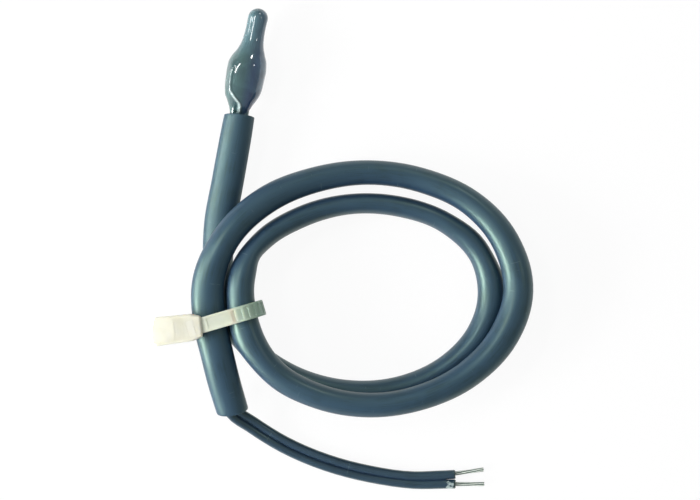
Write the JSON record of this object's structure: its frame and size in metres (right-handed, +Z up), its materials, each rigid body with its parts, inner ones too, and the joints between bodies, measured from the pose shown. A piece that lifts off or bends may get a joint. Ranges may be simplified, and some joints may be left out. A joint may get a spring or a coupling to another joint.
{
  "type": "thermistor probe",
  "caption": "Resin-dipped thermistor head on a flat twin lead in a soft sleeve, coiled in two turns, tied with a nylon cable tie, with stripped and tinned wire ends.",
  "frame": {"origin": "on the surface that the probe lies on, below the middle of the dipped head's length", "axes": "+Y along the dipped head towards its nose, +Z up"},
  "size_m": [0.0593, 0.0719, 0.0114],
  "materials": {
    "resin": "wet-looking dipped resin, dark blue-green",
    "chip_ceramic": "sintered dark oxide",
    "fired_silver": "fired silver print",
    "tinned_wire": "tinned copper strands",
    "solder": "soft solder",
    "lead_vinyl": "semi-matt dark vinyl",
    "sleeve_vinyl": "smooth satin slate vinyl tube",
    "nylon": "natural translucent nylon"
  },
  "bodies": {
    "root": {"epoxy_head": "resin", "thermistor_chip": "chip_ceramic", "electrode_left": "fired_silver", "electrode_right": "fired_silver", "element_lead_left": "tinned_wire", "element_lead_right": "tinned_wire", "solder_joint_left": "solder", "solder_joint_right": "solder", "conductor_left": "tinned_wire", "conductor_right": "tinned_wire", "lead_insulation": "lead_vinyl", "sleeve": "sleeve_vinyl", "cable_tie": "nylon"}
  },
  "joints": []
}
